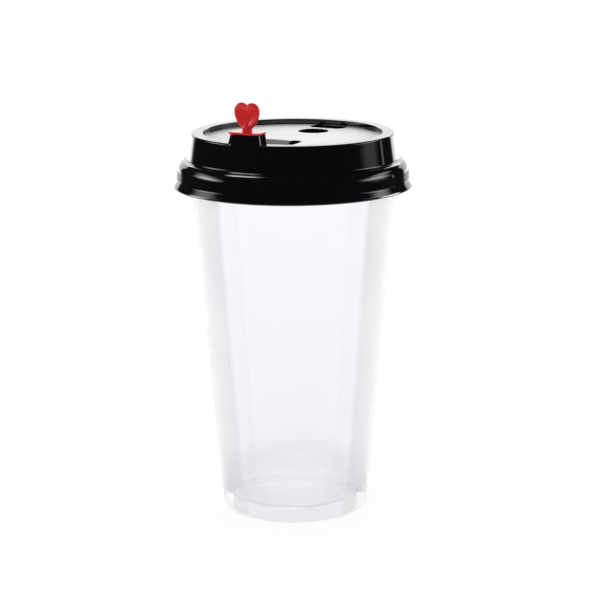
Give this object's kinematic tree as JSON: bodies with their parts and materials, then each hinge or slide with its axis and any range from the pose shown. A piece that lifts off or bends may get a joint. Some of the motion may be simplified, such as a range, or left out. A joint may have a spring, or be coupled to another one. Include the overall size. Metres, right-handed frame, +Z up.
{
  "type": "plastic cup with lid",
  "caption": "Clear tapered plastic drinking cup with a gloss black press-on lid, a raised sip spout and a red heart-topped stopper.",
  "frame": {"origin": "middle of the foot ring, on the surface that the cup stands on", "axes": "+Z up along the cup's axis, -Y towards the lid's spout, +X to the right as seen from the spout's side"},
  "size_m": [0.0968, 0.0968, 0.1727],
  "materials": {
    "clear_cup": "clear, smooth moulded plastic with a faint cool tint",
    "black_lid": "high gloss black moulded plastic",
    "red_plug": "gloss red moulded plastic"
  },
  "bodies": {
    "cup": {"cup": "clear_cup"},
    "lid": {"lid": "black_lid"},
    "plug": {"plug": "red_plug"}
  },
  "joints": [
    {"name": "lid_lift", "type": "slide", "parent": "cup", "child": "lid", "axis": [0, 0, 1], "range_m": [0, 0.03]},
    {"name": "plug_pull", "type": "slide", "parent": "lid", "child": "plug", "axis": [0, 0, 1], "range_m": [0, 0.02]}
  ]
}
